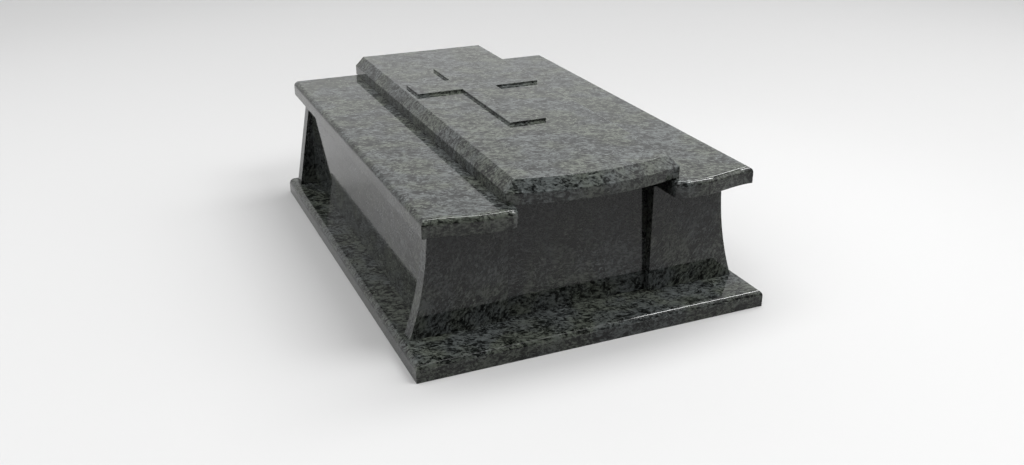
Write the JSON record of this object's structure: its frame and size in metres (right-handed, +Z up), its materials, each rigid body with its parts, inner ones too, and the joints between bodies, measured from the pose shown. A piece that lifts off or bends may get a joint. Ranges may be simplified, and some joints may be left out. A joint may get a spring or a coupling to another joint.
{
  "type": "low grave monument with relief cross",
  "caption": "Low box-shaped grave monument in dark polished granite: a raised, bowed cover slab bears a Latin cross in relief, between rounded ledge slabs on flared legs.",
  "frame": {"origin": "on the ground under the middle of the base plate's rectangle", "axes": "+Z up, +Y from the bowed front towards the square back along the length, +X to the right of someone who faces the front"},
  "size_m": [1.456, 2, 0.6749],
  "materials": {
    "granite": "mirror-polished dark green-grey granite with fine light wavy streaks"
  },
  "bodies": {
    "root": {"base_plate": "granite", "front_leg_left": "granite", "front_leg_right": "granite", "rear_leg_left": "granite", "rear_leg_right": "granite", "side_wall_left": "granite", "side_wall_right": "granite", "front_panel": "granite", "rear_panel": "granite", "side_slab_left": "granite", "side_slab_right": "granite", "cover_slab": "granite"}
  },
  "joints": []
}
